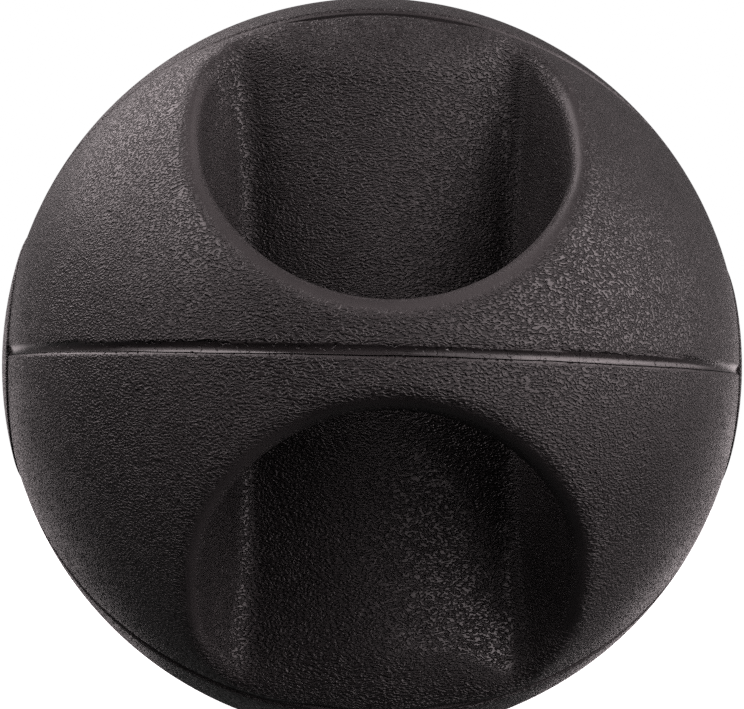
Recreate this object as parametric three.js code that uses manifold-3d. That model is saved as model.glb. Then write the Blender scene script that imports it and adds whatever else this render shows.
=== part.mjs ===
// A dual-grip medicine ball: a hollow, thick-walled rubber ball with a hand tunnel behind each of
// two integral handles. Millimetres, +Z up, origin at the ball's centre. The X axis runs through
// the two round end pads, and the front handle is on -Y.
import * as THREE from 'three';
import { mergeVertices } from 'three/addons/utils/BufferGeometryUtils.js';
import Module from 'manifold-3d';

const wasm = await Module();
wasm.setup();

// Driving dimensions
const BALL_RADIUS = 135;
const COVER_THICKNESS = 5;
const CARCASS_THICKNESS = 12.5;
const GAP = 0.3;
const MERGE_DISTANCE = 1e-4;

// How finely the round shapes are divided
const SEGMENTS = 36;
const CAVITY_SEGMENTS = 24;
const COVER_STEPS = 14;
const PAD_STEPS = 3;

// Six cover panels meet in meridian grooves, and a raised round pad closes each end.
const PANEL_ANGLE = Math.PI / 3;
const PAD_ANGLE = THREE.MathUtils.degToRad(20.4);
const PAD_RAISE = 0.6;
const GROOVE_WIDTH = 1.6;
const GROOVE_DEPTH = 1.2;
const PARTING_WIDTH = 3;
const PARTING_DEPTH = 1;

// Hand tunnel: a trough that runs up the ball behind each handle.
const FLOOR_DISTANCE = 66;
const FLOOR_RADIUS = 106;
const FLOOR_DISH = 12.5;
const DISH_HEIGHT = 110;
const WALL_ROOT = new THREE.Vector2(44.5, -54);
const WALL_DRAFT = THREE.MathUtils.degToRad(22);
const CREASE_SETBACK = 9;
const LINER_THICKNESS = 7;
const TUNNEL_STEPS = 12;
const SECTION_SEGMENTS = 5;

// Each mouth is an arch cut in from the front. The bar left between two mouths is the handle.
const MOUTH_RADIUS = 60;
const MOUTH_HEIGHT = 76;
const MOUTH_TOP = 80;
const MOUTH_SEGMENTS = 18;
const MOUTH_CHAMFER = 5;
const RIM_DEPTH = 2;
const RIM_REACH = 40;
const HANDLE_BACK = 104;
const HANDLE_CHAMFER = 7;

// Needle valve in the middle of the bottom panel
const VALVE_RADIUS = 6;
const VALVE_FLANGE_RADIUS = 12;
const VALVE_FLANGE_THICKNESS = 3;
const VALVE_SEAT_CLEARANCE = 2.5;
const VALVE_RECESS = 1.5;
const VALVE_PLUG_RADIUS = 2.6;
const VALVE_PLUG_RECESS = 0.5;
const VALVE_HOLE_RADIUS = 1;
const VALVE_HOLE_DEPTH = 3.5;
const VALVE_SEGMENTS = 20;

const COVER_INNER = BALL_RADIUS - COVER_THICKNESS;
const CARCASS_OUTER = COVER_INNER - GAP;
const CARCASS_INNER = CARCASS_OUTER - CARCASS_THICKNESS;
const FAR = 2 * BALL_RADIUS;

const ball = new THREE.Group();

// --- Solids and meshes ---

function toSolid(geometry) {
  const bare = geometry.clone();
  bare.deleteAttribute('normal');
  bare.deleteAttribute('uv');
  const merged = mergeVertices(bare, MERGE_DISTANCE);
  const corners = Array.from(merged.index.array);
  const kept = [];
  for (let i = 0; i < corners.length; i += 3) {
    const [a, b, c] = corners.slice(i, i + 3);
    if (a !== b && b !== c && c !== a) kept.push(a, b, c);
  }
  const mesh = new wasm.Mesh({
    numProp: 3,
    vertProperties: new Float32Array(merged.attributes.position.array),
    triVerts: new Uint32Array(kept),
  });
  return new wasm.Manifold(mesh);
}

function toGeometry(solid) {
  const mesh = solid.getMesh();
  const geometry = new THREE.BufferGeometry();
  geometry.setAttribute('position', new THREE.BufferAttribute(mesh.vertProperties, 3));
  geometry.setIndex(new THREE.BufferAttribute(mesh.triVerts, 1));
  geometry.computeVertexNormals();
  return geometry;
}

function cutAway(solid, cutters) {
  return cutters.reduce((rest, cutter) => rest.subtract(cutter), solid);
}

// Half of all space, from the distance given along the direction outwards
function beyond(direction, distance) {
  const slab = new THREE.BoxGeometry(2 * FAR, 2 * FAR, 2 * FAR).translate(0, 0, FAR + distance);
  const turn = new THREE.Quaternion().setFromUnitVectors(new THREE.Vector3(0, 0, 1), direction);
  return toSolid(slab.applyQuaternion(turn));
}

function addPiece(name, solid, material) {
  const mesh = new THREE.Mesh(toGeometry(solid), material);
  mesh.name = name;
  ball.add(mesh);
}

// --- Spherical shapes, turned about the X axis so that their facets line up ---

function sphere(radius, segments) {
  const geometry = new THREE.SphereGeometry(radius, segments, segments / 2);
  return toSolid(geometry.rotateZ(-Math.PI / 2));
}

// A spherical shell between two latitudes towards +X
function shell(inner, outer, fromLatitude, toLatitude, steps) {
  const profile = [];
  for (let i = 0; i <= steps; i += 1) {
    const latitude = THREE.MathUtils.lerp(fromLatitude, toLatitude, i / steps);
    profile.push(new THREE.Vector2(Math.cos(latitude), Math.sin(latitude)));
  }
  const outside = profile.map((point) => point.clone().multiplyScalar(outer));
  const inside = profile.map((point) => point.clone().multiplyScalar(inner)).reverse();
  const loop = [...outside, ...inside, outside[0].clone()];
  const onAxis = loop.map((point) => new THREE.Vector2(Math.max(point.x, 0), point.y));
  const geometry = new THREE.LatheGeometry(onAxis, SEGMENTS);
  return toSolid(geometry.rotateZ(-Math.PI / 2));
}

// The space of one panel: a wedge along the X axis, with flat sides that stop short of the
// grooves' middle planes by half a gap
function panelWedge(elevation) {
  const ray = (angle, length) =>
    new THREE.Vector2(-Math.cos(angle), Math.sin(angle)).multiplyScalar(length);
  const apex = ray(elevation, GAP / 2 / Math.sin(PANEL_ANGLE / 2));
  const left = ray(elevation - PANEL_ANGLE / 2, FAR).add(apex);
  const right = ray(elevation + PANEL_ANGLE / 2, FAR).add(apex);
  const outline = new THREE.Shape([apex, left, right]);
  const geometry = new THREE.ExtrudeGeometry(outline, { depth: 2 * FAR, bevelEnabled: false });
  geometry.translate(0, 0, -FAR);
  geometry.applyMatrix4(new THREE.Matrix4().makeBasis(
    new THREE.Vector3(0, 1, 0),
    new THREE.Vector3(0, 0, 1),
    new THREE.Vector3(1, 0, 0),
  ));
  return toSolid(geometry);
}

// A V-shaped ring that cuts a groove along the great circle at one elevation
function grooveRing(elevation, width, depth) {
  const profile = [
    new THREE.Vector2(BALL_RADIUS - depth, 0),
    new THREE.Vector2(BALL_RADIUS + depth, width),
    new THREE.Vector2(BALL_RADIUS + depth, -width),
    new THREE.Vector2(BALL_RADIUS - depth, 0),
  ];
  const ring = new THREE.LatheGeometry(profile.reverse(), SEGMENTS);
  return toSolid(ring.rotateX(Math.PI / 2 - elevation));
}

// --- The hand tunnel of the front, and its mouths ---

// Where the tunnel's side wall would meet its floor with no rounding
function crease(offset) {
  const along = new THREE.Vector2(Math.sin(WALL_DRAFT), -Math.cos(WALL_DRAFT));
  const outward = new THREE.Vector2(Math.cos(WALL_DRAFT), Math.sin(WALL_DRAFT));
  const centre = new THREE.Vector2(0, FLOOR_RADIUS - FLOOR_DISTANCE);
  const start = WALL_ROOT.clone().addScaledVector(outward, offset);
  const reach = start.clone().sub(centre);
  const half = reach.dot(along);
  const radius = FLOOR_RADIUS - offset;
  const travel = -half + Math.sqrt(half * half - reach.lengthSq() + radius * radius);
  return { point: start.addScaledVector(along, travel), along, centre, radius };
}

// The tunnel's section seen from above: a floor that bulges outwards between two sloping walls
function tunnelSection(offset) {
  const { point, along, centre, radius } = crease(offset);
  const wallStart = point.clone().addScaledVector(along, CREASE_SETBACK);
  const wallEnd = point.clone().addScaledVector(along, FAR);
  const turn = Math.asin(point.x / radius) - CREASE_SETBACK / radius;
  const floorEnd = new THREE.Vector2(Math.sin(turn), -Math.cos(turn));
  floorEnd.multiplyScalar(radius).add(centre);
  const outline = new THREE.Shape();
  outline.moveTo(wallEnd.x, wallEnd.y);
  outline.lineTo(wallStart.x, wallStart.y);
  outline.quadraticCurveTo(point.x, point.y, floorEnd.x, floorEnd.y);
  outline.absarc(centre.x, centre.y, radius, -Math.PI / 2 + turn, -Math.PI / 2 - turn, true);
  outline.quadraticCurveTo(-point.x, point.y, -wallStart.x, wallStart.y);
  outline.lineTo(-wallEnd.x, wallEnd.y);
  return outline;
}

// The section run up through the ball. The floor moves outwards towards the mouths, as a dish.
function tunnelPrism(offset) {
  const geometry = new THREE.ExtrudeGeometry(tunnelSection(offset), {
    depth: FAR,
    steps: TUNNEL_STEPS,
    curveSegments: SECTION_SEGMENTS,
    bevelEnabled: false,
  });
  geometry.translate(0, 0, -FAR / 2);
  const position = geometry.attributes.position;
  for (let i = 0; i < position.count; i += 1) {
    const rise = position.getZ(i) / DISH_HEIGHT;
    position.setY(i, position.getY(i) - FLOOR_DISH * rise * rise);
  }
  return toSolid(geometry);
}

// Arch outline of a mouth in X and Z: a half circle under straight sides. The offset widens it
// towards the handle and fades out at the sides.
function mouthOutline(radius, offset, top) {
  const points = [];
  for (let i = 0; i <= MOUTH_SEGMENTS; i += 1) {
    const angle = Math.PI + (Math.PI * i) / MOUTH_SEGMENTS;
    const reach = radius - offset * Math.sin(angle);
    points.push(new THREE.Vector2(
      reach * Math.cos(angle),
      MOUTH_HEIGHT + reach * Math.sin(angle),
    ));
  }
  points.push(new THREE.Vector2(radius, top));
  points.push(new THREE.Vector2(-radius, top));
  return points;
}

// The mouth run straight in from outside, past the tunnel's floor
function mouthPrism() {
  const outline = new THREE.Shape(mouthOutline(MOUTH_RADIUS, 0, FAR));
  const geometry = new THREE.ExtrudeGeometry(outline, { depth: FAR, bevelEnabled: false });
  return toSolid(geometry.rotateX(Math.PI / 2));
}

// The chamfer round a handle's back edge: a wider mouth that narrows as it comes forwards
function handleFlare() {
  const outline = new THREE.Shape(mouthOutline(MOUTH_RADIUS, 0, FAR));
  const geometry = new THREE.ExtrudeGeometry(outline, {
    depth: HANDLE_CHAMFER,
    bevelThickness: HANDLE_CHAMFER,
    bevelSize: HANDLE_CHAMFER,
    bevelSegments: 1,
  });
  return toSolid(geometry.rotateX(Math.PI / 2).translate(0, HANDLE_CHAMFER - HANDLE_BACK, 0));
}

// The chamfer round a mouth's outer edge: loops on three spheres, joined into a closed plug
function mouthRim() {
  const rings = [
    { offset: 0, radius: BALL_RADIUS - MOUTH_CHAMFER - RIM_DEPTH },
    { offset: MOUTH_CHAMFER, radius: BALL_RADIUS },
    { offset: MOUTH_CHAMFER + RIM_REACH, radius: BALL_RADIUS + RIM_REACH },
  ];
  const positions = [];
  for (const { offset, radius } of rings) {
    for (const { x, y: z } of mouthOutline(MOUTH_RADIUS - GAP, offset, MOUTH_TOP)) {
      positions.push(x, -Math.sqrt(radius * radius - x * x - z * z), z);
    }
  }
  const outline = mouthOutline(MOUTH_RADIUS, 0, MOUTH_TOP);
  const count = outline.length;
  const last = (rings.length - 1) * count;
  const faces = [];
  for (const [a, b, c] of THREE.ShapeUtils.triangulateShape(outline, [])) {
    faces.push(c, b, a, a + last, b + last, c + last);
  }
  for (let ring = 0; ring < last; ring += count) {
    for (let i = 0; i < count; i += 1) {
      const next = (i + 1) % count;
      faces.push(ring + i, ring + next, ring + count + next);
      faces.push(ring + i, ring + count + next, ring + count + i);
    }
  }
  const geometry = new THREE.BufferGeometry();
  geometry.setAttribute('position', new THREE.Float32BufferAttribute(positions, 3));
  geometry.setIndex(faces);
  return toSolid(geometry);
}

// --- Pieces ---

const black = { color: 0x242122, metalness: 0 };
const grainedRubber = new THREE.MeshStandardMaterial({ ...black, roughness: 0.55 });
const smoothRubber = new THREE.MeshStandardMaterial({ ...black, roughness: 0.7 });
const innerRubber = new THREE.MeshStandardMaterial({ color: 0x2e2a2a, roughness: 0.85 });

const UP = new THREE.Vector3(0, 0, 1);
const FRONT = new THREE.Vector3(0, -1, 0);

// Front or rear: the rear is the front turned half a turn about Z
const SIDES = { front: 0, rear: 180 };
// Upper or lower: the lower is the upper turned over
const HALVES = { upper: 1, lower: -1 };

const carcassBall = sphere(CARCASS_OUTER, SEGMENTS);
const upperMouth = mouthPrism();
const upperRim = mouthRim();
const lowerMouth = upperMouth.mirror([0, 0, 1]);
const lowerRim = upperRim.mirror([0, 0, 1]);
const tunnel = tunnelPrism(0);
const frontVoid = tunnel.intersect(upperMouth.add(lowerMouth));
const openings = Object.values(SIDES).flatMap((angle) =>
  [frontVoid, upperRim, lowerRim].map((cutter) => cutter.rotate([0, 0, angle])));

// A needle valve: a flanged rubber housing with a slit plug in its bore. Heights are from the
// ball's centre, downwards.
function valveLathe(profile) {
  const points = profile.map(([radius, depth]) => new THREE.Vector2(radius, -depth));
  return toSolid(new THREE.LatheGeometry(points, VALVE_SEGMENTS).rotateX(Math.PI / 2));
}

const valveFlange = CARCASS_INNER - VALVE_SEAT_CLEARANCE;
const valveTop = valveFlange - VALVE_FLANGE_THICKNESS;
const valveFoot = BALL_RADIUS - VALVE_RECESS;
const plugFoot = valveFoot - VALVE_PLUG_RECESS;
const plugTop = valveTop + VALVE_PLUG_RECESS;

function valveHousing() {
  const bore = VALVE_PLUG_RADIUS + GAP;
  return valveLathe([
    [bore, valveFoot],
    [VALVE_RADIUS, valveFoot],
    [VALVE_RADIUS, valveFlange],
    [VALVE_FLANGE_RADIUS, valveFlange],
    [VALVE_FLANGE_RADIUS, valveTop],
    [bore, valveTop],
    [bore, valveFoot],
  ]);
}

function valvePlug() {
  return valveLathe([
    [0, plugFoot - VALVE_HOLE_DEPTH],
    [VALVE_HOLE_RADIUS, plugFoot],
    [VALVE_PLUG_RADIUS, plugFoot],
    [VALVE_PLUG_RADIUS, plugTop],
    [0, plugTop],
  ]);
}

const boreRadius = VALVE_RADIUS + GAP;
const boreTop = CARCASS_INNER / 2;
const valveBore = valveLathe([
  [0, FAR],
  [boreRadius, FAR],
  [boreRadius, boreTop],
  [0, boreTop],
]);

// Cover panels
const padEdge = Math.PI / 2 - PAD_ANGLE;
const coverLatitude = padEdge - GAP / BALL_RADIUS;
const coverShell = shell(COVER_INNER, BALL_RADIUS, -coverLatitude, coverLatitude, COVER_STEPS);
const grooves = [
  grooveRing(0, PARTING_WIDTH, PARTING_DEPTH),
  grooveRing(PANEL_ANGLE, GROOVE_WIDTH, GROOVE_DEPTH),
  grooveRing(2 * PANEL_ANGLE, GROOVE_WIDTH, GROOVE_DEPTH),
];
const bareCover = cutAway(coverShell, [...grooves, ...openings, valveBore]);
const panelNames = [
  'front_upper_panel',
  'top_panel',
  'rear_upper_panel',
  'rear_lower_panel',
  'bottom_panel',
  'front_lower_panel',
];
panelNames.forEach((name, index) => {
  const middle = (index + 0.5) * PANEL_ANGLE;
  addPiece(name, bareCover.intersect(panelWedge(middle)), grainedRubber);
});

// End pads
const padShell = shell(COVER_INNER, BALL_RADIUS + PAD_RAISE, padEdge, Math.PI / 2, PAD_STEPS);
addPiece('right_end_pad', padShell, smoothRubber);
addPiece('left_end_pad', padShell.mirror([1, 0, 0]), smoothRubber);

// Tunnel liners, in four quarters that meet at the parting plane
const linerTrough = tunnelPrism(LINER_THICKNESS)
  .subtract(tunnel)
  .intersect(carcassBall)
  .subtract(beyond(FRONT, HANDLE_BACK - GAP))
  .intersect(beyond(UP, GAP / 2));

// Handles, in halves that meet at the parting plane
const handleHalf = carcassBall
  .intersect(beyond(FRONT, HANDLE_BACK))
  .intersect(beyond(UP, GAP / 2))
  .subtract(upperMouth.add(handleFlare()));

for (const [side, angle] of Object.entries(SIDES)) {
  for (const [half, sign] of Object.entries(HALVES)) {
    const place = (solid) => {
      const turned = solid.rotate([0, 0, angle]);
      return sign > 0 ? turned : turned.mirror([0, 0, 1]);
    };
    addPiece(`${side}_${half}_tunnel_liner`, place(linerTrough), grainedRubber);
    addPiece(`${side}_${half}_handle`, place(handleHalf), smoothRubber);
  }
}

// Carcass halves: the heavy hollow wall under the cover
const linerSpace = tunnelPrism(LINER_THICKNESS + GAP);
const carcassShell = cutAway(carcassBall, [
  sphere(CARCASS_INNER, CAVITY_SEGMENTS),
  linerSpace,
  linerSpace.rotate([0, 0, 180]),
  beyond(FRONT, HANDLE_BACK - GAP),
  beyond(FRONT.clone().negate(), HANDLE_BACK - GAP),
]);
const upperCarcass = carcassShell.intersect(beyond(UP, GAP / 2));
addPiece('upper_carcass', upperCarcass, innerRubber);
addPiece('lower_carcass', upperCarcass.mirror([0, 0, 1]).subtract(valveBore), innerRubber);

// Inflation valve
addPiece('valve_housing', valveHousing(), innerRubber);
addPiece('valve_plug', valvePlug(), innerRubber);

export default ball;
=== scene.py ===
import math

import bmesh
import bpy
import numpy as np
from mathutils import Matrix, Vector


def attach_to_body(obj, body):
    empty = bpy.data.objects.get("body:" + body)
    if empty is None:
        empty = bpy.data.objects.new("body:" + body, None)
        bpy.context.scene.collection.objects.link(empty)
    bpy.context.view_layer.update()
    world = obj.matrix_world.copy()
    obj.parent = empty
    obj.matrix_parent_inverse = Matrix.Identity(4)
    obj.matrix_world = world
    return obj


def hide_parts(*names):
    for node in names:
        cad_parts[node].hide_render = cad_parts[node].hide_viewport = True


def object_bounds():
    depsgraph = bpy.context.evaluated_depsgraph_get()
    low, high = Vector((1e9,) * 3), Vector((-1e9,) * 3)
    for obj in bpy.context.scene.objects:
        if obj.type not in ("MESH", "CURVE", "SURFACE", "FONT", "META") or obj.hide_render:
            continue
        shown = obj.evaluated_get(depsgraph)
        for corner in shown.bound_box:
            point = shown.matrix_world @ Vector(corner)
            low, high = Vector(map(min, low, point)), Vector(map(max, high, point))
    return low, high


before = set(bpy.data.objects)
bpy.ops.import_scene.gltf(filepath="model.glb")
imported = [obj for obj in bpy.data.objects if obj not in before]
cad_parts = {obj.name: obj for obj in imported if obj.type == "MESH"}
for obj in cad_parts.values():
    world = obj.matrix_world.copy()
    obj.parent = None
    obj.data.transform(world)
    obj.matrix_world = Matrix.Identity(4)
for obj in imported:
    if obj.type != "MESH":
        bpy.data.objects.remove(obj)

cad_low, cad_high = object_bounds()

# A dual-grip medicine ball: a hollow rubber ball with a hand tunnel behind each of two handles.
# Shapes are worked out in millimetres and put into the scene in metres, in the CAD's frame.
# Elevation is the angle about the X axis, from the front handle (-Y) upwards, and latitude is
# the angle towards the right end pad (+X).
MM = 0.001
PAD_RAISE = 0.6
RADIUS = (cad_high.x - cad_low.x) / 2 / MM - PAD_RAISE
COVER_THICKNESS = 5
COVER_INNER = RADIUS - COVER_THICKNESS
PAD_ANGLE = math.radians(20.4)
PANEL_ANGLE = math.radians(60)
SEAM_GAP = 0.12
PARTING_GAP = 0.2

# Mesh. Points are STEP apart, and at the edges of a piece they are at the distances in these lists.
STEP = 1.5
EDGE_STEPS = [SEAM_GAP, 0.22, 0.36, 0.55, 0.8, 1.2]
GROOVE_STEPS = [*EDGE_STEPS, 1.9, 2.8]
OUTER_STEPS = [*EDGE_STEPS, 2.0]
PARTING_STEPS = [PARTING_GAP, 0.26, 0.38, 0.55, 0.8, 1.05, 1.35, 1.75, 2.2, 2.8, 3.6]
PAD_STEPS = [SEAM_GAP, 0.2, 0.35, 0.6, 1.0, 1.8]
RING_STEPS = [SEAM_GAP, 0.22, 0.35, 0.5, 0.7, 1.0, 1.4]
RINGS_WIDTH = 2
PAD_COLUMNS = 180
VALVE_SEGMENTS = 64
NET_MARGIN = 2

# Settling of the points onto the surface, and evening out of those near the tunnel
SETTLE_ROUNDS = 8
CUT_ROUNDS = 4
LEAST_STEEPNESS = 0.05
RELAX_ROUNDS = 10
RELAX_SHARE = 0.5
RELAX_DISTANCES = (14, 9)
SAME_POINT = 0.01

# Hand tunnel. It leans a little against the parting line and stands a little right of the middle.
# Distances are right of the tunnel's middle, out from the ball's middle, or up and down the tunnel.
TUNNEL_TILT = math.radians(1.44)
TUNNEL_SHIFT = 1
FLOOR_DISTANCE = 66
FLOOR_RADIUS = 106
FLOOR_DISH = 12.5
DISH_HEIGHT = 110
WALL_ROOT = (45, 55)
LEFT_DRAFT = math.radians(32)
RIGHT_DRAFT = math.radians(24)
CORNER_FLARE = math.radians(13)
FLARE_HEIGHTS = (60, 100)
CREASE_ROUNDING = 7
MOUTH_RADIUS = 60
MOUTH_HEIGHT = 76
HANDLE_BACK = 104
HANDLE_SPAN = 118
HANDLE_ROUNDING = 12
HANDLE_END = 103.2
CORNER_ROUNDING = 6
DEEPEST = 60
LINER_THICKNESS = 4
HANDLE_SKIN = 5
NEAR_COVER = 6

# Rounded rim of the tunnel: sharper in the corners of its ends, softer in the middle of its ends
RIM_ROUNDING = 8.5
CORNER_SHARPENING = 3
CORNER_HEIGHTS = (68, 102)
CORNER_ACROSS = (22, 44)
END_SOFTENING = 11
END_HEIGHTS = (80, 104)
END_ACROSS = (45, 15)

# Seams. The parting trough lies mostly above the ball's middle plane, and its line below it.
TROUGH_CENTRE = 0.55
TROUGH_HALF_WIDTH = 1.9
TROUGH_DEPTH = 0.8
LINE_HEIGHT = -0.75
LINE_WAVES = ((0.1, 19, 0.6), (0.06, 6.3, 0), (0.04, 2.4, 1))
LINE_FADE = (112, 128)
GROOVE_HALF_WIDTH = 2
GROOVE_DEPTH = 1
PAD_EDGE_ROUNDING = 0.6

# Where the grain comes in: past the rounded rims, and up or down the tunnel
GRAIN_FROM_RIM = (2.6, 6.5)
GRAIN_HEIGHTS = (80, 100)
# Where it comes in beside the seams: in half widths of the trough, and in shares of the groove's depth
GRAIN_FROM_TROUGH = (1.0, 1.35)
GRAIN_FROM_GROOVE = (0.3, 0)
# The parting trough's gloss: its gain with the trough's share, and where it ends below the ball's surface
GLOSS_GAIN = 2
GLOSS_DEPTHS = (-2, -1)

# Needle valve in the middle of the bottom panel. Foot, flange and top are distances from the
# ball's centre.
VALVE_INSET = 1.5
VALVE_NECK = 18.8
VALVE_FLANGE_THICKNESS = 3
VALVE_FOOT = RADIUS - VALVE_INSET
VALVE_FLANGE = VALVE_FOOT - VALVE_NECK
VALVE_TOP = VALVE_FLANGE - VALVE_FLANGE_THICKNESS
VALVE_RADIUS = 6
VALVE_FLANGE_RADIUS = 12
VALVE_BORE = 2.9
PLUG_RADIUS = 2.6
PLUG_RECESS = 0.5
NEEDLE_HOLE_RADIUS = 1
NEEDLE_HOLE_DEPTH = 3.5
PANEL_HOLE_RADIUS = 6.3
VALVE_EDGE_ROUNDING = 0.35
VALVE_SHARP_ANGLE = math.radians(40)


# --- Fields: negative inside, in millimetres ---

def smooth_max(a, b, width):
    overlap = np.maximum(width - np.abs(a - b), 0) / width
    return np.maximum(a, b) + overlap * overlap * width / 4


def smooth_step(low, high, value):
    t = np.clip((value - low) / (high - low), 0, 1)
    return t * t * (3 - 2 * t)


def trough_share(height):
    """1 at the bottom of the parting trough, 0 outside it."""
    across = (height - TROUGH_CENTRE) / TROUGH_HALF_WIDTH
    return np.clip(1 - across * across, 0, 1)


def groove_share(points):
    """1 in the middle of the grooves between the panels, 0 outside them."""
    y, z = points[..., 1], points[..., 2]
    share = np.zeros(y.shape)
    for side in (1, -1):
        across = (z * math.cos(PANEL_ANGLE) - side * y * math.sin(PANEL_ANGLE)) / GROOVE_HALF_WIDTH
        share = np.maximum(share, 1 - across * across)
    return share


def seam_depth(points):
    """How far the grooves sink the ball's surface."""
    x, y, z = points[..., 0], points[..., 1], points[..., 2]
    depth = np.maximum(TROUGH_DEPTH * trough_share(z), GROOVE_DEPTH * groove_share(points))
    to_pad = RADIUS * (math.pi / 2 - PAD_ANGLE - np.arctan2(np.abs(x), np.hypot(y, z)))
    rounding = np.clip(1 - to_pad / PAD_EDGE_ROUNDING, 0, 1) ** 2
    return np.maximum(depth, PAD_EDGE_ROUNDING * rounding)


def ball_field(points):
    return np.linalg.norm(points, axis=-1) - RADIUS + seam_depth(points)


def pad_field(points):
    """The ball at the height of the raised pads, sunk round their edges."""
    x, y, z = points[..., 0], points[..., 1], points[..., 2]
    to_edge = RADIUS * (PAD_ANGLE - np.arctan2(np.hypot(y, z), np.abs(x)))
    rounding = np.clip(1 - to_edge / PAD_EDGE_ROUNDING, 0, 1) ** 2
    return np.linalg.norm(points, axis=-1) - RADIUS - PAD_RAISE + PAD_EDGE_ROUNDING * rounding


def tunnel_place(points):
    """Distances right of the tunnel's middle, out from the ball's middle, and up or down the tunnel."""
    x, z = points[..., 0], points[..., 2]
    across = x * math.cos(TUNNEL_TILT) + z * math.sin(TUNNEL_TILT) - TUNNEL_SHIFT
    height = z * math.cos(TUNNEL_TILT) - x * math.sin(TUNNEL_TILT)
    return across, -points[..., 1], np.abs(height)


def void_field(points):
    """The space of the front hand tunnel and its two mouths."""
    right, out, height = tunnel_place(points)
    across = np.abs(right)
    dished = out - FLOOR_DISH * (height / DISH_HEIGHT) ** 2
    floor = FLOOR_RADIUS - np.hypot(across, dished + FLOOR_RADIUS - FLOOR_DISTANCE)
    draft = np.where(right > 0, RIGHT_DRAFT, LEFT_DRAFT)
    draft = draft + CORNER_FLARE * smooth_step(*FLARE_HEIGHTS, height)
    wall = (across - WALL_ROOT[0]) * np.cos(draft) - (dished - WALL_ROOT[1]) * np.sin(draft)
    wall = smooth_max(wall, across - MOUTH_RADIUS, CORNER_ROUNDING)
    trough = smooth_max(floor, wall, CREASE_ROUNDING)
    below = np.minimum(height - MOUTH_HEIGHT, 0)
    mouth = np.hypot(across, below) - MOUTH_RADIUS
    behind = smooth_max(out - HANDLE_BACK, np.linalg.norm(points, axis=-1) - HANDLE_SPAN, CORNER_ROUNDING)
    access = -smooth_max(-mouth, -behind, HANDLE_ROUNDING)
    return smooth_max(trough, access, CORNER_ROUNDING)


def rim_rounding(points):
    """Width over which the tunnel's walls are rounded into the ball's surface."""
    right, _, height = tunnel_place(points)
    across = np.abs(right)
    corner = smooth_step(*CORNER_HEIGHTS, height) * smooth_step(*CORNER_ACROSS, across)
    end = smooth_step(*END_HEIGHTS, height) * smooth_step(*END_ACROSS, across)
    return RIM_ROUNDING - CORNER_SHARPENING * corner + END_SOFTENING * end


def solid_field(points):
    return smooth_max(ball_field(points), -void_field(points), rim_rounding(points))


def gradient(field, points, reach=0.02):
    slope = np.empty_like(points)
    for axis in range(3):
        offset = np.zeros(3)
        offset[axis] = reach
        slope[:, axis] = (field(points + offset) - field(points - offset)) / (2 * reach)
    return slope


def unit(vectors):
    return vectors / np.linalg.norm(vectors, axis=-1, keepdims=True)


def settle(points, held, rounds=6):
    """Moves the points onto the solid's surface, never along the directions they are held in."""
    for _ in range(rounds):
        slope = gradient(solid_field, points)
        for direction in held:
            slope -= np.sum(slope * direction, axis=1, keepdims=True) * direction
        steep = np.maximum(np.sum(slope * slope, axis=1), LEAST_STEEPNESS)
        points = points - (solid_field(points) / steep)[:, None] * slope
    return points


# --- Meshing ---

def place(elevation, latitude, radius):
    """The point at an elevation, a latitude and a distance from the ball's middle."""
    out = radius * np.cos(latitude)
    return np.stack([radius * np.sin(latitude), -out * np.cos(elevation), out * np.sin(elevation)], -1)


def spaced(first, last, length):
    """Distances that are close together at both ends and STEP apart between."""
    low, high = first[-1], length - last[-1]
    middle = np.linspace(low, high, max(2, round((high - low) / STEP) + 1))
    return np.concatenate([first[:-1], middle, length - np.array(last[-2::-1])])


def surface_net(field, rows):
    """Quads along the field's zero surface, one point to each cell round a crossing of the rows."""
    planes = []
    for row in rows:
        before, after = 1.5 * row[0] - 0.5 * row[1], 1.5 * row[-1] - 0.5 * row[-2]
        planes.append(np.concatenate([[before], (row[1:] + row[:-1]) / 2, [after]]))
    inside = field(place(*np.meshgrid(*planes, indexing="ij"))) < 0
    sizes = [len(row) for row in rows]
    count = np.zeros(sizes, dtype=int)
    for corner in np.ndindex(2, 2, 2):
        count += inside[tuple(slice(start, start + size) for start, size in zip(corner, sizes))]
    active = (count > 0) & (count < 8)
    number = np.full(active.shape, -1)
    number[active] = np.arange(active.sum())
    cells = np.argwhere(active)
    quads = []
    for axis in range(3):
        across = [(axis + 1) % 3, (axis + 2) % 3]
        start = np.take(inside, range(inside.shape[axis] - 1), axis)
        end = np.take(inside, range(1, inside.shape[axis]), axis)
        for rising in (False, True):
            edges = np.argwhere((end & ~start) if rising else (start & ~end))
            for other in across:
                edges = edges[(edges[:, other] > 0) & (edges[:, other] < inside.shape[other] - 1)]
            ring = []
            for a, b in ((0, 0), (1, 0), (1, 1), (0, 1)):
                cell = edges.copy()
                cell[:, across[0]] -= a
                cell[:, across[1]] -= b
                ring.append(number[cell[:, 0], cell[:, 1], cell[:, 2]])
            quads.append(np.stack(ring[::-1] if rising else ring, 1))
    points = place(*[row[cells[:, i]] for i, row in enumerate(rows)])
    return points, np.concatenate(quads), cells


def relax(points, quads, free, held):
    """Evens out the free points along the surface."""
    pairs = np.concatenate([quads[:, [0, 1]], quads[:, [1, 2]], quads[:, [2, 3]], quads[:, [3, 0]]])
    pairs = np.concatenate([pairs, pairs[:, ::-1]])
    count = np.bincount(pairs[:, 0], minlength=len(points))
    for _ in range(RELAX_ROUNDS):
        sums = [np.bincount(pairs[:, 0], points[pairs[:, 1], axis], len(points)) for axis in range(3)]
        normal = unit(gradient(solid_field, points))
        move = (np.stack(sums, 1) / count[:, None] - points) * free[:, None]
        move -= np.sum(move * normal, axis=1, keepdims=True) * normal
        points = settle(points + RELAX_SHARE * move, held, rounds=1)
    return points


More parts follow.
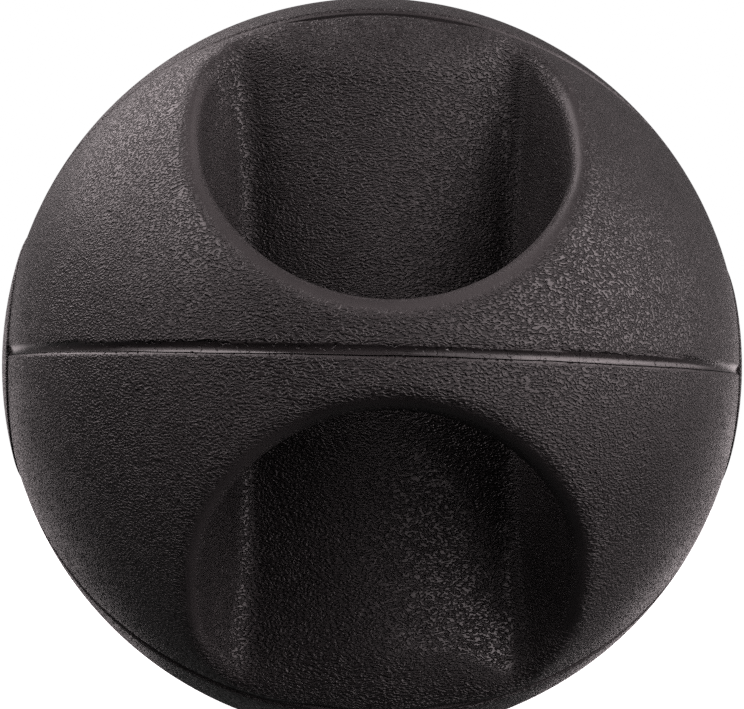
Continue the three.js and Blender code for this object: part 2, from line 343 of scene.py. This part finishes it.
def parting_line(x):
    """Height of the slightly wandering parting line."""
    height = LINE_HEIGHT
    for rise, length, phase in LINE_WAVES:
        height = height + rise * np.sin(x / length + phase)
    return height


def split_along(points, faces, field):
    """Cuts the faces where the field changes sign, and returns those above zero and those below it."""
    value = field(points)
    mesh = bmesh.new()
    verts = [mesh.verts.new(p) for p in points]
    for face in faces:
        mesh.faces.new([verts[i] for i in face])
    mesh.verts.index_update()
    cut = []
    for edge in list(mesh.edges):
        a, b = (value[v.index] for v in edge.verts)
        if (a < 0) != (b < 0):
            cut.append(bmesh.utils.edge_split(edge, edge.verts[0], a / (a - b))[1])
    new = set(cut)
    for face in list(mesh.faces):
        ends = [v for v in face.verts if v in new]
        if len(ends) == 2:
            bmesh.utils.face_split(face, *ends)
    for i, vert in enumerate(cut):
        vert.index = len(points) + i
    added = np.array([v.co for v in cut])
    for _ in range(CUT_ROUNDS):
        slope = gradient(field, added)
        added -= (field(added) / np.sum(slope * slope, axis=1))[:, None] * slope
        added = settle(added, [unit(slope)], rounds=1)
    value = np.concatenate([value, np.zeros(len(cut))])
    above, below = [], []
    for face in mesh.faces:
        corners = [v.index for v in face.verts]
        side = above if sum(value[i] for i in corners) > 0 else below
        side.append(corners)
    mesh.free()
    return np.concatenate([points, added]), above, below


def front_quarter(side):
    """The ball's surface from the parting plane to the next groove, upper (1) or lower (-1)."""
    arc = RADIUS * PANEL_ANGLE
    rise = spaced(PARTING_STEPS, GROOVE_STEPS, arc)
    edge = RADIUS * (math.pi / 2 - PAD_ANGLE)
    reach = spaced(PAD_STEPS, PAD_STEPS, 2 * edge) - edge
    rows = [side * rise / RADIUS, reach / RADIUS, np.arange(DEEPEST, RADIUS + NET_MARGIN, STEP)]
    points, quads, cells = surface_net(solid_field, rows)
    if side > 0:
        quads = quads[:, ::-1]
    elevation = rows[0][cells[:, 0]]
    latitude = rows[1][cells[:, 1]]
    upwards = np.stack([0 * elevation, np.sin(elevation), np.cos(elevation)], 1)
    outwards = np.stack([np.cos(latitude), np.sin(latitude) * np.cos(elevation),
                         -np.sin(latitude) * np.sin(elevation)], 1)
    last_rise, last_reach = len(rise) - 1, len(reach) - 1
    near_seam = (cells[:, 0] < len(PARTING_STEPS)) | (cells[:, 0] > last_rise - len(GROOVE_STEPS))
    near_pad = (cells[:, 1] < len(PAD_STEPS)) | (cells[:, 1] > last_reach - len(PAD_STEPS))
    held = [upwards * near_seam[:, None], outwards * near_pad[:, None]]
    points = settle(points, held, SETTLE_ROUNDS)
    free = smooth_step(*RELAX_DISTANCES, np.abs(void_field(points))) * ~near_seam * ~near_pad
    points = relax(points, quads, free, held)
    height = np.abs(points[:, 2])
    shift = parting_line(points[:, 0]) * (1 - smooth_step(0, PARTING_STEPS[-1], height))
    points[:, 2] += shift * smooth_step(*LINE_FADE, np.linalg.norm(points, axis=1))
    return settle(points, held), quads


def shares(points):
    """How grained the surface is at each point, and how far it lies in the parting trough."""
    ball, void = ball_field(points), void_field(points)
    grain = smooth_step(*GRAIN_FROM_RIM, np.maximum(-ball, void))
    grain = np.maximum(grain, smooth_step(*GRAIN_HEIGHTS, tunnel_place(points)[2]))
    grain *= smooth_step(*GRAIN_FROM_GROOVE, groove_share(points))
    height = points[:, 2]
    grain *= smooth_step(*GRAIN_FROM_TROUGH, np.abs((height - TROUGH_CENTRE) / TROUGH_HALF_WIDTH))
    seam = np.clip(trough_share(height) * GLOSS_GAIN, 0, 1) * smooth_step(*GLOSS_DEPTHS, ball)
    on_pad = np.arctan2(np.hypot(points[:, 1], height), np.abs(points[:, 0])) < PAD_ANGLE
    return np.where(on_pad, 1, grain), np.where(on_pad, 0, seam)


def only_used(points, faces):
    """The points that the faces use, and the faces numbered to match."""
    used = np.unique(np.concatenate([np.array(face) for face in faces]))
    order = np.full(len(points), -1)
    order[used] = np.arange(len(used))
    return points[used], [[order[i] for i in face] for face in faces]


def close_up(points, faces, behind):
    """Points and faces of a closed skin. The points behind may be the same as those in front."""
    front, outer = only_used(points, faces)
    back = behind(front)
    apart = np.linalg.norm(front - back, axis=1) > SAME_POINT
    back_order = np.where(apart, len(front) + np.cumsum(apart) - 1, np.arange(len(front)))
    inner = [[back_order[i] for i in face[::-1]] for face in outer]
    sides = set()
    for face in outer:
        for a, b in zip(face, face[1:] + face[:1]):
            if (b, a) in sides:
                sides.remove((b, a))
            else:
                sides.add((a, b))
    walls = []
    for a, b in sorted(sides):
        wall = [b, a, back_order[a], back_order[b]]
        wall = [v for i, v in enumerate(wall) if v != wall[i - 1]]
        if len(wall) > 2:
            walls.append(wall)
    return front, np.concatenate([front, back[apart]]), outer, inner, walls


def attach(name, mesh, material, replaced):
    """Puts the mesh into the scene as a piece that stands for a CAD node."""
    mesh.materials.append(material)
    piece = bpy.data.objects.new(name, mesh)
    bpy.context.scene.collection.objects.link(piece)
    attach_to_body(piece, "root")
    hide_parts(replaced)


def add_skin(name, skin, material, replaced, field=solid_field, turned=False):
    """Makes a piece of a skin from close_up, with normals from the field, turned half round or not."""
    front, points, outer, inner, walls = skin
    normals = unit(gradient(field, front))
    spin = np.array([-1, -1, 1]) if turned else np.ones(3)
    mesh = bpy.data.meshes.new(name)
    faces = [[int(i) for i in face] for face in outer + inner + walls]
    mesh.from_pydata((points * spin * MM).tolist(), [], faces)
    for attribute, values in zip(("grain", "seam"), shares(front)):
        filled = np.zeros(len(points), dtype=np.float32)
        filled[:len(front)] = values
        mesh.attributes.new(attribute, "FLOAT", "POINT").data.foreach_set("value", filled)
    smooth = np.ones(len(faces), dtype=bool)
    smooth[len(outer) + len(inner):] = False
    mesh.polygons.foreach_set("use_smooth", smooth)
    custom = np.zeros((len(mesh.loops), 3))
    count = sum(len(face) for face in outer)
    corners = np.array([i for face in outer for i in face])
    custom[:count] = (normals * spin)[corners]
    mesh.normals_split_custom_set(custom.tolist())
    attach(name, mesh, material, replaced)


def to_cover_inside(points):
    return unit(points) * COVER_INNER


def into_wall(points, depth):
    """Points a depth into the rubber, kept under the cover."""
    inwards = -unit(gradient(solid_field, points))
    away = unit(points)
    rise = np.sum(inwards * away, axis=1, keepdims=True)
    distance = np.linalg.norm(points, axis=1)
    near_cover = smooth_step(COVER_INNER - NEAR_COVER, COVER_INNER, distance)[:, None]
    return points + depth * unit(inwards - near_cover * np.maximum(rise, 0) * away)


# --- Materials ---

class Nodes:
    """Short names for a material's node tree."""

    def __init__(self, name):
        self.material = bpy.data.materials.new(name)
        self.material.use_nodes = True
        self.tree = self.material.node_tree
        self.shader = self.tree.nodes["Principled BSDF"]
        self.place = self.add("ShaderNodeTexCoord").outputs["Object"]

    def add(self, kind, inputs=(), **settings):
        node = self.tree.nodes.new(kind)
        for key, value in settings.items():
            setattr(node, key, value)
        for key, value in dict(inputs).items():
            if isinstance(value, bpy.types.NodeSocket):
                self.tree.links.new(value, node.inputs[key])
            else:
                node.inputs[key].default_value = value
        return node

    def math(self, operation, a, b=0.0, clamp=False):
        return self.add("ShaderNodeMath", {0: a, 1: b}, operation=operation, use_clamp=clamp).outputs[0]

    def vector_math(self, operation, inputs):
        return self.add("ShaderNodeVectorMath", inputs, operation=operation).outputs[0]

    def ramp(self, value, low, high, to_low=0.0, to_high=1.0):
        inputs = {"Value": value, "From Min": low, "From Max": high, "To Min": to_low, "To Max": to_high}
        return self.add("ShaderNodeMapRange", inputs, interpolation_type="SMOOTHSTEP").outputs["Result"]

    def mapped(self, vector, turn, scale):
        inputs = {"Vector": vector, "Rotation": turn, "Scale": scale}
        return self.add("ShaderNodeMapping", inputs, vector_type="POINT").outputs["Vector"]

    def noise(self, vector, scale, detail=0.0, output="Fac"):
        inputs = {"Vector": vector, "Scale": scale, "Detail": detail, "Roughness": 0.5}
        return self.add("ShaderNodeTexNoise", inputs).outputs[output]

    def mix(self, factor, a, b):
        inputs = {"Factor": factor, "A": a, "B": b}
        return self.add("ShaderNodeMix", inputs, data_type="FLOAT").outputs["Result"]

    def blend(self, factor, a, b):
        node = self.add("ShaderNodeMix", {"Factor": factor}, data_type="RGBA")
        for socket, value in ((node.inputs[6], a), (node.inputs[7], b)):
            if isinstance(value, bpy.types.NodeSocket):
                self.tree.links.new(value, socket)
            else:
                socket.default_value = (*value, 1)
        return node.outputs[2]

    def attribute(self, name):
        return self.add("ShaderNodeAttribute", attribute_name=name).outputs["Fac"]

    def bump(self, height, distance, below=None):
        inputs = {"Height": height, "Distance": distance, "Strength": 1.0}
        if below:
            inputs["Normal"] = below
        return self.add("ShaderNodeBump", inputs).outputs["Normal"]

    def set(self, **inputs):
        for key, value in inputs.items():
            socket = self.shader.inputs[key.replace("_", " ")]
            if isinstance(value, bpy.types.NodeSocket):
                self.tree.links.new(value, socket)
            else:
                socket.default_value = value


# Grain: period and heights in millimetres, scales in features to a metre, levels of noise from 0 to 1
GRAIN_PERIOD = 1.15
CELLS_PER_PERIOD = 2
GRAIN_HEIGHT = 0.65
RIDGE_STRETCH = 2.2
RIDGE_TURNS = ((0, 0.25, 0.1), (0, 0.9, -0.2), (0.2, -0.5, 0.15))
RIDGE_LEVELS = (0.36, 0.62)
CHOICE_SCALE = 160
CHOICE_LEVELS = ((0.42, 0.5), (0.54, 0.62))
SWAY_SCALE = 90
SWAY_REACH = 4
NOISE_MIDDLE = (0.5, 0.5, 0.5)
SPECK_SCALE = 1500
SPECK_HEIGHT = 0.02
PIT_SCALE = 650
PIT_LEVELS = (0.64, 0.68)
PATCH_SCALE = 22
PATCH_LEVELS = (0.3, 0.7)
PATCH_TONES = (0.35, 0.8)
PATCH_ROUGHNESS = (-0.05, 0.06)
RIDGE_ROUGHNESS = 0.4
VALLEY_ROUGHNESS = 0.7
SEAM_ROUGHNESS = 0.28
# The rubber's colour runs from DARK to PALE with the random patches; in the grain the valleys take DARK as
# painted shade and the ridges PALE as painted highlight
DARK = (0.006, 0.0053, 0.0055)
PALE = (0.026, 0.0232, 0.0238)


def leather_grain(nodes):
    """Height of the moulded grain: short wavy ridges that keep a direction for a few millimetres."""
    sway = nodes.noise(nodes.place, SWAY_SCALE, 1, "Color")
    sway = nodes.vector_math("SUBTRACT", {0: sway, 1: NOISE_MIDDLE})
    sway = nodes.vector_math("SCALE", {0: sway, "Scale": SWAY_REACH * MM})
    warped = nodes.vector_math("ADD", {0: nodes.place, 1: sway})
    fine = CELLS_PER_PERIOD / (GRAIN_PERIOD * MM)
    scale = (fine / RIDGE_STRETCH, fine, fine)
    first, second, third = (nodes.noise(nodes.mapped(warped, turn, scale), 1.0) for turn in RIDGE_TURNS)
    choice = nodes.noise(nodes.place, CHOICE_SCALE)
    ridges = nodes.mix(nodes.ramp(choice, *CHOICE_LEVELS[0]), first, second)
    ridges = nodes.mix(nodes.ramp(choice, *CHOICE_LEVELS[1]), ridges, third)
    return nodes.ramp(ridges, *RIDGE_LEVELS)


def rubber(name, roughness, grained=0.0):
    """Moulded black rubber. Its grain follows the piece's own attributes, at most as strong as grained."""
    nodes = Nodes(name)
    ridges = leather_grain(nodes)
    share = nodes.math("MULTIPLY", nodes.attribute("grain"), grained)
    patches = nodes.noise(nodes.place, PATCH_SCALE, 3)
    specks = nodes.noise(nodes.place, SPECK_SCALE, 2)
    pits = nodes.ramp(nodes.noise(nodes.place, PIT_SCALE), *PIT_LEVELS)
    height = nodes.math("MULTIPLY", ridges, share)
    height = nodes.math("SUBTRACT", height, nodes.math("MULTIPLY", pits, nodes.attribute("seam")))
    patch_tone = nodes.ramp(patches, *PATCH_LEVELS, *PATCH_TONES)
    # The grain's valleys are painted darker and its ridges paler, as painted shade and highlight on top of
    # the bump; the patches vary the rubber's tone at random
    tone_with_painted_shade = nodes.math("MULTIPLY", patch_tone, nodes.mix(share, 1.0, ridges))
    nodes.set(Base_Color=nodes.blend(tone_with_painted_shade, DARK, PALE))
    gloss = nodes.mix(share, roughness, nodes.mix(ridges, VALLEY_ROUGHNESS, RIDGE_ROUGHNESS))
    gloss = nodes.mix(nodes.attribute("seam"), gloss, SEAM_ROUGHNESS)
    uneven = nodes.ramp(patches, *PATCH_LEVELS, *PATCH_ROUGHNESS)
    nodes.set(Roughness=nodes.math("ADD", gloss, uneven, clamp=True))
    nodes.set(Normal=nodes.bump(height, GRAIN_HEIGHT * MM, nodes.bump(specks, SPECK_HEIGHT * MM)))
    return nodes.material


cover_rubber = rubber("cover_rubber", roughness=0.5, grained=1.0)
liner_rubber = rubber("liner_rubber", roughness=0.5, grained=1.0)
handle_rubber = rubber("handle_rubber", roughness=0.5, grained=0.3)
pad_rubber = rubber("pad_rubber", roughness=0.5, grained=0.8)
valve_rubber = rubber("valve_rubber", roughness=0.6)
carcass_rubber = rubber("carcass_rubber", roughness=0.7)


# --- Pieces ---

def past_cover(points):
    return np.linalg.norm(points, axis=-1) - COVER_INNER


def past_handle_end(points):
    return -points[:, 1] - HANDLE_END


def past_valve_hole(points):
    return np.hypot(points[:, 0], points[:, 1]) - PANEL_HOLE_RADIUS


def add_half(half, side):
    """Adds a panel, tunnel skin and grip above or below the parting line, at the front and the rear."""
    points, quads = front_quarter(side)
    points, cover, rest = split_along(points, quads.tolist(), past_cover)
    inner_points, handle, liner = split_along(*only_used(points, rest), past_handle_end)
    panel_skin = close_up(points, cover, to_cover_inside)
    liner_skin = close_up(inner_points, liner, lambda front: into_wall(front, LINER_THICKNESS))
    handle_skin = close_up(inner_points, handle, lambda front: into_wall(front, HANDLE_SKIN))
    for end, turned in (("front", False), ("rear", True)):
        node = f"{end}_{half}_panel"
        add_skin(f"{node}_cover", panel_skin, cover_rubber, node, turned=turned)
        node = f"{end}_{half}_tunnel_liner"
        add_skin(f"{node}_skin", liner_skin, liner_rubber, node, turned=turned)
        node = f"{end}_{half}_handle"
        add_skin(f"{node}_grip", handle_skin, handle_rubber, node, turned=turned)


def grid_faces(rows, columns):
    return [[i * columns + j, i * columns + j + 1, (i + 1) * columns + j + 1, (i + 1) * columns + j]
            for i in range(rows - 1) for j in range(columns - 1)]


def outer_panel(middle):
    """Skin of a whole panel, round the ball from one groove to the next."""
    rise = spaced(OUTER_STEPS, OUTER_STEPS, RADIUS * PANEL_ANGLE) / RADIUS + middle - PANEL_ANGLE / 2
    edge = RADIUS * (math.pi / 2 - PAD_ANGLE)
    reach = (spaced(PAD_STEPS, PAD_STEPS, 2 * edge) - edge) / RADIUS
    points = place(*np.meshgrid(rise, reach, [RADIUS], indexing="ij")).reshape(-1, 3)
    points -= unit(points) * ball_field(points)[:, None]
    return points, grid_faces(len(rise), len(reach))


def end_pad(side):
    """Skin of a round pad: rings about the X axis, with a point in their middle."""
    edge = RADIUS * PAD_ANGLE
    rings = np.concatenate([np.arange(STEP, edge - RINGS_WIDTH, STEP), edge - np.array(RING_STEPS[::-1])])
    turns = np.arange(PAD_COLUMNS) * 2 * math.pi / PAD_COLUMNS
    angle, turn = np.meshgrid(rings / RADIUS, turns, indexing="ij")
    away = np.sin(angle)
    directions = np.stack([side * np.cos(angle), away * np.cos(turn), away * np.sin(turn)], -1)
    points = np.concatenate([[[side, 0, 0]], directions.reshape(-1, 3)]) * RADIUS
    points -= unit(points) * pad_field(points)[:, None]
    faces = []
    for j in range(PAD_COLUMNS):
        after = (j + 1) % PAD_COLUMNS
        faces.append([0, 1 + j, 1 + after])
        for i in range(len(rings) - 1):
            inner, outer = 1 + i * PAD_COLUMNS, 1 + (i + 1) * PAD_COLUMNS
            faces.append([inner + j, outer + j, outer + after, inner + after])
    return points, [face[::side] for face in faces]


def eased(profile, reach):
    """The closed profile of radius and depth, with its corners rounded apart from those on the axis."""
    outline = []
    for i, (radius, depth) in enumerate(profile):
        corner = np.array([radius, depth], dtype=float)
        if radius == 0:
            outline.append(corner)
            continue
        start = corner + reach * unit(np.array(profile[i - 1]) - corner)
        end = corner + reach * unit(np.array(profile[(i + 1) % len(profile)]) - corner)
        for t in (0, 0.25, 0.5, 0.75, 1):
            outline.append((1 - t) ** 2 * start + 2 * t * (1 - t) * corner + t * t * end)
    return outline


def add_turned(name, profile, material, replaced):
    """Makes a piece from a closed profile turned about the Z axis, below the ball's middle."""
    mesh = bmesh.new()
    rings = []
    for radius, depth in eased(profile, VALVE_EDGE_ROUNDING):
        count = VALVE_SEGMENTS if radius > 0 else 1
        angles = [i * 2 * math.pi / VALVE_SEGMENTS for i in range(count)]
        rings.append([mesh.verts.new(Vector((radius * math.cos(a), radius * math.sin(a), -depth)) * MM)
                      for a in angles])
    for ring, above in zip(rings, rings[1:] + rings[:1]):
        for i in range(VALVE_SEGMENTS):
            j = (i + 1) % VALVE_SEGMENTS
            corners = [ring[i % len(ring)], ring[j % len(ring)]]
            corners += [above[j % len(above)], above[i % len(above)]]
            corners = [v for k, v in enumerate(corners) if v is not corners[k - 1]]
            if len(corners) > 2:
                mesh.faces.new(corners).smooth = True
    data = bpy.data.meshes.new(name)
    mesh.to_mesh(data)
    mesh.free()
    data.set_sharp_from_angle(angle=VALVE_SHARP_ANGLE)
    attach(name, data, material, replaced)


for half, side in (("upper", 1), ("lower", -1)):
    add_half(half, side)

points, faces = outer_panel(math.pi / 2)
add_skin("top_panel_cover", close_up(points, faces, to_cover_inside), cover_rubber, "top_panel",
         ball_field)
points, faces = outer_panel(-math.pi / 2)
points, faces, _ = split_along(points, faces, past_valve_hole)
add_skin("bottom_panel_cover", close_up(points, faces, to_cover_inside), cover_rubber, "bottom_panel",
         ball_field)

for name, side in (("right_end_pad", 1), ("left_end_pad", -1)):
    points, faces = end_pad(side)
    cap = close_up(points, faces, to_cover_inside)
    add_skin(f"{name}_cap", cap, pad_rubber, name, pad_field)

# Closed profiles of radius and distance below the ball's centre
plug_foot = VALVE_FOOT - PLUG_RECESS
plug_top = VALVE_TOP + PLUG_RECESS
housing_profile = [
    (VALVE_BORE, VALVE_FOOT),
    (VALVE_RADIUS, VALVE_FOOT),
    (VALVE_RADIUS, VALVE_FLANGE),
    (VALVE_FLANGE_RADIUS, VALVE_FLANGE),
    (VALVE_FLANGE_RADIUS, VALVE_TOP),
    (VALVE_BORE, VALVE_TOP),
]
plug_profile = [
    (0, plug_foot - NEEDLE_HOLE_DEPTH),
    (NEEDLE_HOLE_RADIUS, plug_foot),
    (PLUG_RADIUS, plug_foot),
    (PLUG_RADIUS, plug_top),
    (0, plug_top),
]
add_turned("valve_housing_body", housing_profile, valve_rubber, "valve_housing")
add_turned("valve_plug_body", plug_profile, valve_rubber, "valve_plug")

for node in ("upper_carcass", "lower_carcass"):
    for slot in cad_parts[node].material_slots:
        slot.material = carcass_rubber


# --- Stage, lights and camera ---

# Sizes from here on are in metres
FLOOR_SIZE = 12
FLOOR_GAP = 0.0005
FLOOR_COLOUR = (0.8, 0.8, 0.8, 1)
FLOOR_GLOW = 0.95
WHITE = (1, 1, 1, 1)


def add_floor():
    """A pale floor that glows evenly and lights nothing, so that it shows as the photo's backdrop."""
    mesh = bpy.data.meshes.new("floor")
    half = FLOOR_SIZE / 2
    corners = [(-half, -half, 0), (half, -half, 0), (half, half, 0), (-half, half, 0)]
    mesh.from_pydata(corners, [], [(0, 1, 2, 3)])
    nodes = Nodes("pale_floor")
    nodes.set(Base_Color=FLOOR_COLOUR, Roughness=0.9, Emission_Color=WHITE, Emission_Strength=FLOOR_GLOW)
    mesh.materials.append(nodes.material)
    floor = bpy.data.objects.new("floor", mesh)
    floor.location.z = cad_low.z - FLOOR_GAP
    bpy.context.scene.collection.objects.link(floor)
    floor.visible_diffuse = False
    floor.visible_glossy = False


LIGHT_COLOUR = (1.0, 0.88, 0.9)
LIGHT_DISTANCE = 1.3
# Azimuth from the front towards the right, elevation, diameter, and power in watts
LIGHTS = {
    "key_right": (60, 15, 1.0, 12.5),
    "fill_right": (30, 15, 1.0, 5.5),
    "side_right": (90, 15, 0.9, 5.0),
    "high_right": (60, 45, 0.9, 8.5),
    "high_left": (-60, 45, 0.9, 13.0),
    "side_left": (-60, 20, 0.9, 3.0),
    "low_front": (30, -15, 0.9, 0.8),
    "back_left": (-120, 45, 0.9, 11.5),
    "low_back_left": (-150, -10, 0.9, 3.0),
    "low_back_right": (150, -10, 0.9, 5.0),
}


def add_light(name, azimuth, elevation, size, power):
    """A round light that faces the ball and can't be seen itself."""
    a, e = math.radians(azimuth), math.radians(elevation)
    towards = Vector((math.sin(a) * math.cos(e), -math.cos(a) * math.cos(e), math.sin(e))).normalized()
    data = bpy.data.lights.new(name, "AREA")
    data.shape = "DISK"
    data.size = size
    data.energy = power
    data.color = LIGHT_COLOUR
    light = bpy.data.objects.new(name, data)
    light.visible_camera = False
    light.location = towards * LIGHT_DISTANCE
    light.rotation_euler = towards.to_track_quat("Z", "Y").to_euler()
    bpy.context.scene.collection.objects.link(light)


# The world's strength rises from the sides to the back
WORLD_DIRECTIONS = (0.0, 0.5)
WORLD_STRENGTHS = (0.01, 0.13)


def light_world():
    """A world that looks white to the camera and lights the ball faintly, mostly from behind."""
    world = bpy.data.worlds.new("studio")
    bpy.context.scene.world = world
    world.use_nodes = True
    nodes, links = world.node_tree.nodes, world.node_tree.links
    direction = nodes.new("ShaderNodeSeparateXYZ")
    links.new(nodes.new("ShaderNodeTexCoord").outputs["Generated"], direction.inputs[0])
    strength = nodes.new("ShaderNodeMapRange")
    strength.inputs["From Min"].default_value, strength.inputs["From Max"].default_value = WORLD_DIRECTIONS
    strength.inputs["To Min"].default_value, strength.inputs["To Max"].default_value = WORLD_STRENGTHS
    links.new(direction.outputs["Y"], strength.inputs["Value"])
    lit = nodes["Background"]
    shown = nodes.new("ShaderNodeBackground")
    for background in (lit, shown):
        background.inputs["Color"].default_value = WHITE
    links.new(strength.outputs["Result"], lit.inputs["Strength"])
    either = nodes.new("ShaderNodeMixShader")
    links.new(nodes.new("ShaderNodeLightPath").outputs["Is Camera Ray"], either.inputs["Fac"])
    links.new(lit.outputs[0], either.inputs[1])
    links.new(shown.outputs[0], either.inputs[2])
    links.new(either.outputs[0], nodes["World Output"].inputs["Surface"])


CAMERA_YAW, CAMERA_PITCH, CAMERA_ROLL = (math.radians(angle) for angle in (2.2, -1.62, 1.44))
CAMERA_DISTANCE = 3.946 * RADIUS * MM
CAMERA_LENS = 68.02
CAMERA_SENSOR = 36
CAMERA_SHIFT = 0.016


def add_camera():
    """The photo's camera: almost straight in front, a little left of the ball's middle and below it."""
    view = (Matrix.Rotation(CAMERA_ROLL, 3, "Y") @ Matrix.Rotation(CAMERA_PITCH, 3, "X")
            @ Matrix.Rotation(CAMERA_YAW, 3, "Z")).transposed()
    right, forward, up = (view @ Vector(axis) for axis in ((1, 0, 0), (0, 1, 0), (0, 0, 1)))
    data = bpy.data.cameras.new("camera")
    data.lens = CAMERA_LENS
    data.sensor_width = CAMERA_SENSOR
    data.shift_y = CAMERA_SHIFT
    camera = bpy.data.objects.new("camera", data)
    facing = Matrix((right, up, -forward)).transposed().to_4x4()
    camera.matrix_world = Matrix.Translation(-forward * CAMERA_DISTANCE) @ facing
    bpy.context.scene.collection.objects.link(camera)
    bpy.context.scene.camera = camera


add_floor()
for name, values in LIGHTS.items():
    add_light(name, *values)
light_world()
add_camera()
bpy.context.scene.view_settings.view_transform = "Standard"
bpy.context.scene.cycles.use_denoising = False
